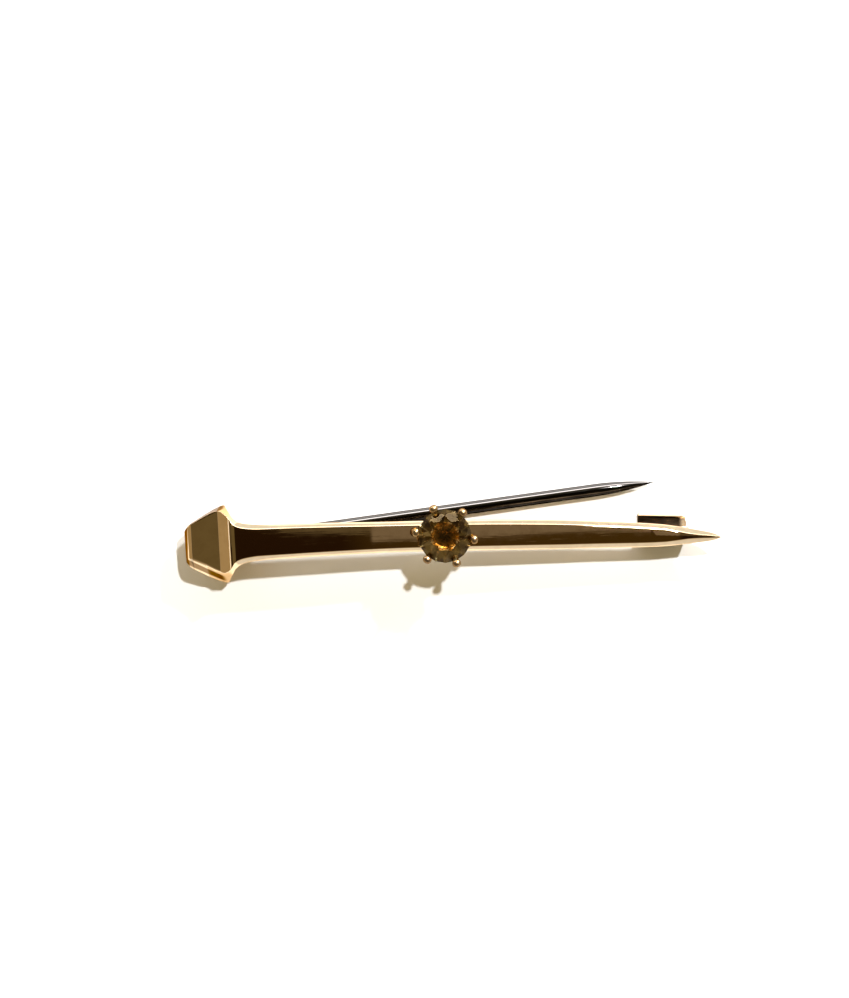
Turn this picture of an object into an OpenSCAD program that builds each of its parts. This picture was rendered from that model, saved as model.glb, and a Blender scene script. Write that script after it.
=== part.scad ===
// A bar brooch in the form of a horseshoe nail. It lies on its back with its pin unhooked.
// X runs from the hinge towards the nail's point, and Z points up out of the nail's face.
// The origin is where the hinge's axis meets the underside of the hinge's foot.

/* [Nail] */
// Length of the nail from the end of its head to its point
nail_length = 50; // [49:0.25:52]
// How far the nail's middle bows away from a straight line
nail_bow = 0.6; // [0:0.02:0.6]

/* [Hinge] */
// Distance from the end of the head to the hinge's axis
hinge_station = 6.2; // [6:0.05:6.5]
// Offset of the hinge's axis from the nail's centre line
hinge_offset = 0.39; // [0:0.01:0.4]
// Radius of the two hinge plates
plate_radius = 1.2; // [1.1:0.05:1.3]
// Thickness of the plate that is the hinge's foot
foot_thickness = 0.35; // [0.3:0.01:0.36]
// Radius of the rivet that the pin turns on
rivet_radius = 0.38; // [0.3:0.01:0.4]
// Gap between the rivet and the bore in the pin's eye
bore_play = 0.04; // [0.03:0.01:0.06]

/* [Pin] */
// Length of the pin from the hinge's axis to its tip
pin_length = 38.2; // [37.4:0.1:38.6]
// Radius of the pin's straight shank
pin_radius = 0.6; // [0.5:0.01:0.6]
// Length of the tapered point
point_length = 5.9; // [5.5:0.1:8]
// Height of the pin's axis above the table
pin_height = 0.9; // [0.88:0.01:0.95]
// Radius of the eye that turns on the rivet
eye_radius = 0.95; // [0.8:0.05:1]
// Angle between the unhooked pin and the nail
open_angle = 6.9; // [0:0.01:80]

/* [Catch] */
// Distance from the end of the head to the catch
catch_station = 42.6; // [42.2:0.1:42.8]
// Length of the catch along the nail
catch_length = 4.6; // [3:0.1:4.7]
// How far the catch's lip stands out from the nail's centre line
catch_reach = 2.16; // [1.8:0.02:2.2]
// Thickness of the catch's strip
catch_wall = 0.38; // [0.3:0.02:0.4]
// Height of the catch's lip above the table
lip_height = 0.56; // [0.5:0.02:0.6]

/* [Setting] */
// Distance from the end of the head to the stone's centre
stone_station = 24.3; // [20:0.1:28]
// Number of claws
claw_count = 6; // [4:1:8]
// Turn of the first claw from the nail's direction
claw_turn = -8; // [-30:1:30]
// Width of each claw across
claw_width = 0.65; // [0.4:0.05:0.7]
// Thickness of each claw from inside to outside
claw_depth = 0.56; // [0.5:0.02:0.6]
// Radius of the bead at each claw's tip
bead_radius = 0.38; // [0.3:0.01:0.38]

/* [Stone] */
// Diameter of the stone over its girdle
stone_diameter = 4.95; // [4.5:0.05:5]
// Height of the girdle's middle above the table that the brooch lies on
girdle_height = 6.55; // [6.5:0.05:7]
// Width of the stone's flat top
table_diameter = 2.8; // [2.4:0.05:3]
// Height of the crown above the girdle
crown_height = 0.72; // [0.6:0.02:0.76]
// Depth of the pavilion below the girdle
pavilion_depth = 1.86; // [1.6:0.02:1.9]

/* [Hidden] */
$fn = 48;

gap = 0.06; // between parts that turn on each other
rivet_gap = 0.02; // round the rivet in the plates that hold it
sink = 0.2; // how deep a soldered foot goes into the metal
table_length = 50; // the nail's length that the table of sections is drawn for
tip_radius = 0.03; // at the very end of the pin
girdle = 0.12; // thickness of the stone's edge
seat_gap = 0.045; // between the stone and its claws

// The nail's sections. Heights are above the table, and widths are from the centre line.
STATION = 0; // distance from the end of the head
HALF_FACE = 1; // half the width of the flat face on top
FACE = 2; // height of that face
HALF_EDGE = 3; // half the nail's width, at the edge below the bevel
EDGE = 4; // height of that edge
HALF_BACK = 5; // half the width of the back
BACK = 6; // height of the back
LEAN = 7; // how far the face is moved over to the pin's side
SECTIONS = [
  [0.00, 1.15, 3.10, 1.49, 2.95, 1.35, 2.65, 0.20],
  [0.36, 1.42, 3.86, 1.90, 3.40, 1.74, 2.62, 0.34],
  [0.72, 1.62, 4.10, 2.16, 3.45, 1.98, 2.50, 0.42],
  [2.00, 2.28, 4.22, 2.93, 2.80, 2.75, 2.00, 0.43],
  [2.80, 2.70, 4.29, 3.37, 1.95, 3.20, 1.25, 0.38],
  [3.30, 2.88, 4.34, 3.60, 1.35, 3.45, 0.80, 0.28],
  [3.53, 2.88, 4.52, 3.66, 1.10, 3.52, 0.75, 0.20],
  [3.72, 2.84, 4.66, 3.67, 0.98, 3.55, 0.75, 0.15],
  [4.10, 2.62, 4.93, 3.20, 2.95, 3.05, 1.75, 0.08],
  [4.38, 2.30, 5.22, 2.88, 4.20, 2.74, 2.60, 0.03],
  [4.80, 1.68, 5.26, 2.26, 4.70, 2.14, 3.20, 0],
  [5.70, 1.38, 5.30, 1.84, 4.90, 1.72, 3.41, 0],
  [7.10, 1.24, 5.34, 1.68, 4.94, 1.57, 3.37, 0],
  [9.00, 1.22, 5.38, 1.62, 4.99, 1.51, 3.32, 0],
  [13.60, 1.14, 5.30, 1.53, 4.92, 1.42, 3.18, 0],
  [20.10, 1.04, 5.04, 1.43, 4.66, 1.33, 3.00, 0],
  [28.00, 1.01, 4.64, 1.43, 4.24, 1.33, 2.77, 0],
  [35.00, 0.93, 4.26, 1.36, 3.87, 1.26, 2.56, 0],
  [38.70, 0.83, 4.09, 1.26, 3.70, 1.15, 2.45, 0],
  [42.50, 0.72, 3.96, 1.15, 3.57, 1.05, 2.34, 0],
  [44.80, 0.59, 3.92, 1.02, 3.53, 0.92, 2.30, 0],
  [46.20, 0.39, 3.93, 0.86, 3.52, 0.76, 2.40, 0],
  [47.10, 0.24, 3.98, 0.73, 3.56, 0.64, 2.62, 0],
  [48.00, 0.16, 4.08, 0.59, 3.71, 0.50, 2.96, 0],
  [49.40, 0.08, 4.30, 0.33, 4.09, 0.26, 3.80, 0],
  [50.00, 0.02, 4.42, 0.06, 4.39, 0.04, 4.33, 0],
];

stretch = nail_length / table_length;

// Height of the bowed centre line over the straight line from end to end, and its slope
function bow_at(s) = nail_bow * (1 - pow(2 * s / nail_length - 1, 2));
function slope_at(s) = -4 * nail_bow / nail_length * (2 * s / nail_length - 1);
function turn_at(s) = atan(slope_at(s));

hinge_y = bow_at(hinge_station) + hinge_offset;

// A point of the nail, from its station, its distance across and its height
function nail_point(s, across, height) = [
  s - hinge_station - across * sin(turn_at(s)),
  bow_at(s) - hinge_y + across * cos(turn_at(s)),
  height
];

// The six corners of one section, going round from the back
function section_ring(row) =
  let(s = row[STATION] * stretch) [
    nail_point(s, -row[HALF_BACK], row[BACK]),
    nail_point(s, row[HALF_BACK], row[BACK]),
    nail_point(s, row[HALF_EDGE], row[EDGE]),
    nail_point(s, row[LEAN] + row[HALF_FACE], row[FACE]),
    nail_point(s, row[LEAN] - row[HALF_FACE], row[FACE]),
    nail_point(s, -row[HALF_EDGE], row[EDGE])
  ];

corners = 6;
last = len(SECTIONS) - 1;

// Height of the nail's face and of its back above the table at a station
function face_at(s) = lookup(s / stretch, [for (row = SECTIONS) [row[STATION], row[FACE]]]);
function back_at(s) = lookup(s / stretch, [for (row = SECTIONS) [row[STATION], row[BACK]]]);

// The solid nail, lofted through its sections
module nail() {
  points = [for (row = SECTIONS) each section_ring(row)];
  head_end = [[for (j = [0 : corners - 1]) j]];
  point_end = [[for (j = [corners - 1 : -1 : 0]) last * corners + j]];
  sides = [
    for (i = [0 : last - 1], j = [0 : corners - 1])
      let(a = i * corners + j, b = i * corners + (j + 1) % corners)
        each [[a, a + corners, b + corners], [a, b + corners, b]]
  ];
  polyhedron(points = points, faces = concat(head_end, sides, point_end), convexity = 6);
}

eye_bottom = foot_thickness + gap;
eye_top = 2 * pin_height - eye_bottom;
plate_bottom = eye_top + gap;
plate_top = plate_bottom + 0.45;
hinge_back = back_at(hinge_station);
leaf_thickness = 0.4; // of the part of the bracket that is soldered to the nail
web_inner = plate_radius;
web_thickness = 0.45;
web_width = 1.9;

module hinge_plate(bottom, top) {
  translate([0, 0, bottom])
    linear_extrude(top - bottom)
      union() {
        circle(r = plate_radius);
        translate([-web_inner - web_thickness, -web_width / 2])
          square([web_inner + web_thickness, web_width]);
      }
}

// A bracket bent from strip: a foot, a plate above the pin's eye, a web and a leaf on the nail's back
module hinge_bracket() {
  difference() {
    union() {
      hinge_plate(0, foot_thickness);
      hinge_plate(plate_bottom, plate_top);
      hinge_plate(hinge_back - leaf_thickness, hinge_back + sink);
      translate([-web_inner - web_thickness, -web_width / 2, 0])
        cube([web_thickness, web_width, hinge_back + sink]);
    }
    translate([0, 0, -1])
      cylinder(r = rivet_radius + rivet_gap, h = 1 + plate_top + gap);
  }
}

rivet_bottom = 0.03;
rivet_top = plate_top + 0.04;

module hinge_rivet() {
  color("goldenrod")
    translate([0, 0, rivet_bottom])
      cylinder(r = rivet_radius, h = rivet_top - rivet_bottom);
}

catch_outer = (back_at(catch_station + catch_length / 2) + sink) / 2; // outer radius of its round back
catch_centre = 0.5; // distance of its centre from the nail's centre line

// The catch from its end: round at the back, flat under the pin, with a turned-up lip
module catch_profile() {
  lip_centre = catch_reach - lip_height;
  difference() {
    translate([catch_centre, catch_outer])
      circle(r = catch_outer);
    translate([catch_centre, catch_outer])
      circle(r = catch_outer - catch_wall);
    translate([catch_centre, -1])
      square([4, 6]);
  }
  translate([catch_centre - 0.01, 0])
    square([lip_centre - catch_centre + 0.02, catch_wall]);
  translate([catch_centre - 0.01, 2 * catch_outer - catch_wall])
    square([0.4, catch_wall]);
  intersection() {
    translate([lip_centre, lip_height])
      difference() {
        circle(r = lip_height);
        circle(r = lip_height - catch_wall);
      }
    translate([lip_centre, 0])
      square([lip_height, lip_height]);
  }
}

corner_radius = 1.1; // of the lip's corner at the point's end

// The catch's outline from above, with that corner rounded
module catch_outline() {
  difference() {
    translate([0, -3])
      square([catch_length, catch_reach + 3]);
    difference() {
      translate([catch_length - corner_radius, catch_reach - corner_radius])
        square(2 * corner_radius);
      translate([catch_length - corner_radius, catch_reach - corner_radius])
        circle(r = corner_radius);
    }
  }
}

module catch() {
  at = nail_point(catch_station, 0, 0);
  translate([at.x, at.y, 0])
    rotate(turn_at(catch_station + catch_length / 2))
      intersection() {
        rotate([90, 0, 90])
          linear_extrude(catch_length)
            catch_profile();
        translate([0, 0, -1])
          linear_extrude(6)
            catch_outline();
      }
}

stone_radius = stone_diameter / 2;
stone_centre = nail_point(stone_station, 0, 0);
stone_turn = turn_at(stone_station);
claw_inner = stone_radius + seat_gap;
claw_outer = claw_inner + claw_depth;
foot_sink = 0.45; // how deep the setting's foot goes into the nail
foot_height = face_at(stone_station) - foot_sink - girdle_height; // below the girdle
foot_inner = 0.95;
foot_outer = 1.3;
gallery_height = -1.05; // below the girdle
bead_height = 0.42; // above the girdle
seat_radius = 0.7;
seat_depth = 0.55;

// One claw from its side, with heights from the girdle
module claw_profile() {
  polygon([
    [foot_inner, foot_height],
    [foot_outer, foot_height],
    [claw_outer, -0.3],
    [claw_outer, bead_height],
    [claw_inner, bead_height],
    [claw_inner, -0.25]
  ]);
}

module claw() {
  rotate([90, 0, 0])
    translate([0, 0, -claw_width / 2])
      linear_extrude(claw_width)
        claw_profile();
  translate([claw_outer - bead_radius, 0, bead_height])
    sphere(r = bead_radius);
}

// A plain ring round the setting's axis
module collet_ring(bottom, height, inner, outer) {
  translate([0, 0, bottom])
    rotate_extrude()
      translate([inner, 0])
        square([outer - inner, height]);
}

// Claws on a foot ring and a gallery ring
module claw_setting() {
  translate([stone_centre.x, stone_centre.y, girdle_height])
    rotate(stone_turn) {
      collet_ring(foot_height, 0.85, foot_inner, foot_outer);
      collet_ring(gallery_height, 0.36, 1.76, 2.2);
      for (k = [0 : claw_count - 1])
        rotate(claw_turn - stone_turn + k * 360 / claw_count)
          claw();
    }
}

// The setting's seat in the nail's face, which leaves room for the stone's culet
module seat() {
  translate([stone_centre.x, stone_centre.y, face_at(stone_station) - seat_depth])
    cylinder(r = seat_radius, h = 2 * seat_depth);
}

module nail_bar() {
  color("gold")
    union() {
      difference() {
        nail();
        seat();
      }
      hinge_bracket();
      catch();
      claw_setting();
    }
}

point_middle = 0.45; // radius half way along the point
neck_width = 0.8;
neck_height = 0.9;
neck_end = 1.9;
shoulder_end = 2.3;

// A steel pin along X, with a flat eye, a flattened neck, a round shank and a long point
module closed_pin() {
  difference() {
    union() {
      translate([0, 0, eye_bottom])
        cylinder(r = eye_radius, h = eye_top - eye_bottom);
      translate([0, -neck_width / 2, pin_height - neck_height / 2])
        cube([neck_end, neck_width, neck_height]);
      translate([0, 0, pin_height])
        rotate([0, 90, 0]) {
          translate([0, 0, neck_end])
            cylinder(r1 = neck_width / 2, r2 = pin_radius, h = shoulder_end - neck_end);
          translate([0, 0, shoulder_end])
            cylinder(r = pin_radius, h = pin_length - point_length - shoulder_end);
          translate([0, 0, pin_length - point_length])
            cylinder(r1 = pin_radius, r2 = point_middle, h = point_length / 2);
          translate([0, 0, pin_length - point_length / 2])
            cylinder(r1 = point_middle, r2 = tip_radius, h = point_length / 2);
        }
    }
    translate([0, 0, -1])
      cylinder(r = rivet_radius + bore_play, h = 6);
  }
}

module pin() {
  color("dimgray")
    rotate(open_angle)
      closed_pin();
}

table_radius = table_diameter / 2;
star_radius = 1.95; // where star and kite facets meet
mid_radius = 0.75; // where the pavilion's lower facets end
facets = 8;
half_step = 180 / facets;
girdle_top = girdle / 2;
table_top = girdle_top + crown_height;
culet = -girdle_top - pavilion_depth;

// The heights at which kite facets and pavilion mains are flat
star_height = table_top
  - (star_radius * cos(half_step) - table_radius) / (stone_radius - table_radius) * crown_height;
mid_height = culet + mid_radius * cos(half_step) / stone_radius * pavilion_depth;

function ring(count, radius, height, turn) = [
  for (k = [0 : count - 1])
    let(a = turn + k * 360 / count)
      [radius * cos(a), radius * sin(a), height]
];

// A round brilliant. Rings from the top: table, stars, girdle above and below, pavilion, culet.
module stone() {
  double = 2 * facets;
  points = concat(
    ring(facets, table_radius, table_top, half_step),
    ring(facets, star_radius, star_height, 0),
    ring(double, stone_radius, girdle_top, 0),
    ring(double, stone_radius, -girdle_top, 0),
    ring(facets, mid_radius, mid_height, 0),
    [[0, 0, culet]]
  );
  star = facets;
  upper = 2 * facets;
  lower = upper + double;
  mid = lower + double;
  bottom = mid + facets;
  table = [[for (k = [facets - 1 : -1 : 0]) k]];
  crown = [
    for (k = [0 : facets - 1])
      let(next = (k + 1) % facets, g = upper + 2 * k, g1 = upper + 2 * k + 1)
        let(g2 = upper + (2 * k + 2) % double)
          each [
            [k, star + next, g1, star + k],
            [k, next, star + next],
            [star + k, g1, g],
            [star + next, g2, g1]
          ]
  ];
  edge = [
    for (k = [0 : double - 1])
      let(next = (k + 1) % double)
        [upper + k, upper + next, lower + next, lower + k]
  ];
  pavilion = [
    for (k = [0 : facets - 1])
      let(next = (k + 1) % facets, g = lower + 2 * k, g1 = lower + 2 * k + 1)
        let(g2 = lower + (2 * k + 2) % double)
          each [
            [bottom, mid + k, g1, mid + next],
            [mid + k, g, g1],
            [mid + next, g1, g2]
          ]
  ];
  color("darkgoldenrod")
    translate([stone_centre.x, stone_centre.y, girdle_height])
      rotate(stone_turn)
        polyhedron(points = points, faces = concat(table, crown, edge, pavilion), convexity = 2);
}

nail_bar();
hinge_rivet();
pin();
stone();
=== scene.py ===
"""A bar brooch in the form of a gold horseshoe nail, with a brown stone in claws and a steel pin.

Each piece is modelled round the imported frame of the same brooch, in metres. X runs from the
hinge towards the nail's point, Y to the side that the catch opens to, and Z out of its face.
"""

import math

import bmesh
import bpy
from bpy.props import FloatProperty, FloatVectorProperty, IntProperty, PointerProperty
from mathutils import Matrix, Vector


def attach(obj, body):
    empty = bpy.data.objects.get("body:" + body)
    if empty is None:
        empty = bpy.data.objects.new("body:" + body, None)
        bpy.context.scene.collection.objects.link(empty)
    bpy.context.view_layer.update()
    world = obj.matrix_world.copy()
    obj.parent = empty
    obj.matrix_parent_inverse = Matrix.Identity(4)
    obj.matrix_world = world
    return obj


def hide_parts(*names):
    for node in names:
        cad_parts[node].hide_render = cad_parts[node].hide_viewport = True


bl_info = {
    "name": "Horseshoe Nail Brooch",
    "version": (1, 0, 0),
    "blender": (4, 5, 0),
    "location": "View3D > Sidebar > Brooch",
    "description": "Models and finishes a gold nail brooch round its packed frame",
    "category": "Object",
}

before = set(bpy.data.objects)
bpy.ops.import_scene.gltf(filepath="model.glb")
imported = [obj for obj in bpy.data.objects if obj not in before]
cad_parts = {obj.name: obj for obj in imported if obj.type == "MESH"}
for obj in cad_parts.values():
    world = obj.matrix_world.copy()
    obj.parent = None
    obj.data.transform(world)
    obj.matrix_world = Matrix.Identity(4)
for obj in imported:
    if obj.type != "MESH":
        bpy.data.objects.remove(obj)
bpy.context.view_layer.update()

MM = 0.001
BAR = "bar_body"
PIN = "pin_body"

# Distances in metres that count as touching, and as one point
TOUCHING = 1e-6
SAME_POINT = 1e-7

# The nail's sections in millimetres, with heights above the table and widths from the centre line
STATION, HALF_FACE, FACE, HALF_EDGE, EDGE, HALF_BACK, BACK, LEAN = range(8)
SECTIONS = (
    (0.00, 1.15, 3.10, 1.49, 2.95, 1.35, 2.65, 0.20),
    (0.36, 1.42, 3.86, 1.90, 3.40, 1.74, 2.62, 0.34),
    (0.72, 1.62, 4.10, 2.16, 3.45, 1.98, 2.50, 0.42),
    (2.00, 2.28, 4.22, 2.93, 2.80, 2.75, 2.00, 0.43),
    (2.80, 2.70, 4.29, 3.37, 1.95, 3.20, 1.25, 0.38),
    (3.30, 2.88, 4.34, 3.60, 1.35, 3.45, 0.80, 0.28),
    (3.53, 2.88, 4.52, 3.66, 1.10, 3.52, 0.75, 0.20),
    (3.72, 2.84, 4.66, 3.67, 0.98, 3.55, 0.75, 0.15),
    (4.10, 2.62, 4.93, 3.20, 2.95, 3.05, 1.75, 0.08),
    (4.38, 2.30, 5.22, 2.88, 4.20, 2.74, 2.60, 0.03),
    (4.80, 1.68, 5.26, 2.26, 4.70, 2.14, 3.20, 0),
    (5.70, 1.38, 5.30, 1.84, 4.90, 1.72, 3.41, 0),
    (7.10, 1.24, 5.34, 1.68, 4.94, 1.57, 3.37, 0),
    (9.00, 1.22, 5.38, 1.62, 4.99, 1.51, 3.32, 0),
    (13.60, 1.14, 5.30, 1.53, 4.92, 1.42, 3.18, 0),
    (20.10, 1.04, 5.04, 1.43, 4.66, 1.33, 3.00, 0),
    (28.00, 1.01, 4.64, 1.43, 4.24, 1.33, 2.77, 0),
    (35.00, 0.93, 4.26, 1.36, 3.87, 1.26, 2.56, 0),
    (38.70, 0.83, 4.09, 1.26, 3.70, 1.15, 2.45, 0),
    (42.50, 0.72, 3.96, 1.15, 3.57, 1.05, 2.34, 0),
    (44.80, 0.59, 3.92, 1.02, 3.53, 0.92, 2.30, 0),
    (46.20, 0.39, 3.93, 0.86, 3.52, 0.76, 2.40, 0),
    (47.10, 0.24, 3.98, 0.73, 3.56, 0.64, 2.62, 0),
    (48.00, 0.16, 4.08, 0.59, 3.71, 0.50, 2.96, 0),
    (49.40, 0.08, 4.30, 0.33, 4.09, 0.26, 3.80, 0),
    (50.00, 0.02, 4.42, 0.06, 4.39, 0.04, 4.33, 0),
)
NAIL_LENGTH = SECTIONS[-1][STATION]
NAIL_BOW = 0.6
HINGE_STATION = 6.2
HINGE_OFFSET = 0.39
STONE_STATION = 24.3
CATCH_STATION = 42.6
CATCH_LENGTH = 4.6
PANEL_ROWS = (2, 5)

# Other sizes in millimetres: how deep a soldered foot goes in, and the gaps round the rivet
SINK = 0.2
RIVET_GAP = 0.02
BORE_PLAY = 0.04

# The setting's rings in millimetres, the gallery's heights measured from the stone's edge
FOOT_HEIGHT, FOOT_INNER, FOOT_OUTER = 0.6, 0.95, 1.4
GALLERY_BOTTOM, GALLERY_TOP, GALLERY_INNER, GALLERY_OUTER = -1.05, -0.69, 1.76, 2.2

# The masks of the finish in millimetres, each as the places where its step begins and ends
# The head's masks bound the painted shade on its end and south side and the painted dark reflection on its
# north bevel
HEAD_WEST_OF = (-2.3, -2.9)
HEAD_END = (-5.84, -5.92)
PANEL_NORTH = (-0.10, -0.02)
STRIP_INNER = (0.2, 0.3)
STRIP_OUTER = (0.85, 0.7)
# Where the catch's painted shade gives way to plain gold
LIP_ABOVE = (0.47, 0.53)
LIP_BEYOND = (0.9, 1.1)
CATCH_END = (40.3, 40.8)
# Painted light in the stone: where its petals begin, how many there are, and their turn
PETALS_FROM = (0.3, 1.0)
PETALS = 8.0
PETAL_TURN = 1.2

# The room that the gold mirrors: its colours by height, from level to straight overhead
SKY = (
    (0.0, (0.84, 0.86, 0.88, 1)),
    (0.2, (0.78, 0.77, 0.72, 1)),
    (0.45, (0.50, 0.41, 0.27, 1)),
    (0.75, (0.22, 0.18, 0.11, 1)),
    (0.93, (0.13, 0.10, 0.045, 1)),
    (1.0, (0.12, 0.09, 0.037, 1)),
)
AMBIENT = (0.40, 0.318, 0.172, 1)
WHITE = (1.0, 1.0, 1.0, 1)
WINDOW = (8.0, 7.8, 7.6, 1)
NORTH_WALL = (0.94, 1.0, 1.02, 1)
WEST_WALL = (0.38, 0.29, 0.155, 1)
DARK_CARD = (0.016, 0.007, 0.002, 1)
BROWN_CARD = (0.048, 0.027, 0.005, 1)
CARD_RIM = (0.095, 0.072, 0.036, 1)
PALE_CARD = (0.172, 0.135, 0.088, 1)


def bow_at(station):
    """Distance of the nail's bowed centre line from the straight line between its ends."""
    return NAIL_BOW * (1 - (2 * station / NAIL_LENGTH - 1) ** 2)


def turn_at(station):
    """Angle of the bowed centre line."""
    return math.atan(-4 * NAIL_BOW / NAIL_LENGTH * (2 * station / NAIL_LENGTH - 1))


HINGE_Y = bow_at(HINGE_STATION) + HINGE_OFFSET


def nail_point(station, across, height):
    """A point of the nail in metres, from its station, its distance across and its height."""
    turn = turn_at(station)
    x = station - HINGE_STATION - across * math.sin(turn)
    y = bow_at(station) - HINGE_Y + across * math.cos(turn)
    return Vector((x, y, height)) * MM


def steepness(column, row):
    """Slope of a column at a row that keeps a curve through the rows from overshooting."""
    if row in (0, len(SECTIONS) - 1):
        return 0.0
    before, here, after = SECTIONS[row - 1 : row + 2]
    left = (here[column] - before[column]) / (here[STATION] - before[STATION])
    right = (after[column] - here[column]) / (after[STATION] - here[STATION])
    if left * right <= 0:
        return 0.0
    return 2 * left * right / (left + right)


def section_value(column, station, smooth=True):
    """A column of the sections between its rows, on a smooth curve or on straight lines."""
    row = max(i for i, section in enumerate(SECTIONS[:-1]) if section[STATION] <= station + 1e-9)
    low, high = SECTIONS[row], SECTIONS[row + 1]
    step = high[STATION] - low[STATION]
    t = min((station - low[STATION]) / step, 1.0)
    if not smooth:
        return low[column] + t * (high[column] - low[column])
    start = steepness(column, row) * step
    end = steepness(column, row + 1) * step
    rise = high[column] - low[column]
    return low[column] + t * (start + t * (3 * rise - 2 * start - end + t * (start + end - 2 * rise)))


def size_mm(name, description, millimetres):
    """A length that a user may change, with its default in millimetres."""
    return FloatProperty(name=name, description=description, default=millimetres * MM, unit="LENGTH")


def tint(name, description, values):
    """A colour that a user may change."""
    return FloatVectorProperty(name=name, description=description, default=values, subtype="COLOR")


class NailSizes(bpy.types.PropertyGroup):
    """Sizes of the nail's finish"""

    smooth_from: FloatProperty(
        name="Smooth From", description="Station in millimetres where the head's flat facets end",
        default=4.38,
    )
    neck_end: FloatProperty(
        name="Neck End", description="Station in millimetres where the curve of the neck ends", default=7.1
    )
    neck_step: size_mm("Neck Step", "Distance between the neck's sections", 0.3)
    shank_step: size_mm("Shank Step", "Distance between the shank's sections", 0.5)
    edge_radius: size_mm("Edge Rounding", "Width of the rounding on the nail's edges", 0.05)
    head_rounding: size_mm(
        "Head Rounding", "Width of the rounding on the lower side of the head's panel", 0.18
    )
    panel_height: size_mm("Panel Height", "Height above which the head's edges bound its panel", 4.0)
    point_share: FloatProperty(
        name="Point Share", description="Widest rounding near the point, as a share of half the face",
        default=0.25, subtype="FACTOR",
    )
    seat_radius: size_mm("Seat Radius", "Radius of the stone's seat in the face", 0.7)
    seat_depth: size_mm("Seat Depth", "Depth of the stone's seat in the face", 0.55)


class SettingSizes(bpy.types.PropertyGroup):
    """Sizes of the claw setting"""

    claws: IntProperty(name="Claws", description="Number of claws round the stone", default=6, min=4, max=8)
    turn: FloatProperty(
        name="Turn", description="Angle of the first claw", default=math.radians(-8), subtype="ANGLE"
    )
    claw_width: size_mm("Claw Width", "Width of a claw across", 0.65)
    claw_depth: size_mm("Claw Depth", "Thickness of a claw from inside to outside", 0.56)
    stone_gap: size_mm("Stone Gap", "Gap between a claw and the stone's edge", 0.045)
    stone_radius: size_mm("Stone Radius", "Radius of the stone over its edge", 2.475)
    girdle_height: size_mm("Girdle Height", "Height of the stone's edge", 6.55)


class HingeSizes(bpy.types.PropertyGroup):
    """Sizes of the hinge bracket and its rivet"""

    plate_radius: size_mm("Plate Radius", "Radius of the round plates", 1.2)
    foot: size_mm("Foot", "Thickness of the plate on the table", 0.35)
    plate: size_mm("Plate", "Thickness of the plate above the pin's eye", 0.45)
    web: size_mm("Web", "Thickness of the upright web", 0.45)
    web_width: size_mm("Web Width", "Width of the upright web", 1.9)
    gap: size_mm("Gap", "Gap between the pin's eye and the plates", 0.06)
    rivet_radius: size_mm("Rivet Radius", "Radius of the rivet", 0.38)


class PinSizes(bpy.types.PropertyGroup):
    """Sizes of the pin"""

    length: size_mm("Length", "From the hinge's axis to the tip", 38.2)
    radius: size_mm("Radius", "Radius of the shank", 0.6)
    point: size_mm("Point", "Length of the tapered point", 5.9)
    height: size_mm("Height", "Height of the pin's axis", 0.9)
    eye_radius: size_mm("Eye Radius", "Radius of the eye", 0.95)
    angle: FloatProperty(
        name="Angle", description="Angle of the unhooked pin", default=math.radians(6.9), subtype="ANGLE"
    )


class CatchSizes(bpy.types.PropertyGroup):
    """Sizes of the catch"""

    wall: size_mm("Wall", "Thickness of the catch's strip", 0.38)
    reach: size_mm("Reach", "Distance of the lip from the centre line", 2.16)
    lip: size_mm("Lip", "Height of the turned-up lip", 0.56)
    centre: size_mm("Centre", "Distance of the round back's centre from the centre line", 0.5)
    corner: size_mm("Corner", "Rounding of the lip's corner", 1.1)


class FinishColours(bpy.types.PropertyGroup):
    """Colours of the materials"""

    gold: tint("Gold", "Colour of the polished gold", (0.93, 0.71, 0.47))
    tarnish: tint("Tarnish", "Colour of the dulled gold", (0.55, 0.36, 0.17))
    # Painted shade: the head's end and south side are darkened to stand for the shaded floor that they
    # mirror
    painted_shade_gold: tint("Painted Shade Gold", "Colour of the gold on the head's sides", (0.17, 0.092, 0.032))
    # This dark gold is real tarnish on the claws, painted shade on the catch and a painted dark reflection
    # on the head's north bevel
    brown_tarnish_and_painted_shade: tint("Brown Tarnish And Painted Shade", "Colour of the gold that the polish has not reached", (0.30, 0.20, 0.12))
    steel: tint("Steel", "Colour of the pin's steel", (0.17, 0.16, 0.155))
    # Painted shade: the steel's side towards the nail is much darker than its side away from it
    painted_dark_side: tint("Painted Dark Side", "Colour of the steel's dark side", (0.04, 0.035, 0.031))
    stone: tint("Stone", "Colour that the stone lets through", (0.90, 0.67, 0.29))
    # Painted light: the darker middle and the petals stand in for the dark and bright facets of the cut
    painted_dark_heart: tint("Stone's Heart", "Colour that the stone's middle lets through", (0.42, 0.30, 0.125))
    stone_gleam: tint("Stone's Gleam", "Tint of the reflections in the stone", (0.70, 0.50, 0.25))
    floor: tint("Floor", "Colour of the floor", (0.82, 0.82, 0.82))


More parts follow.
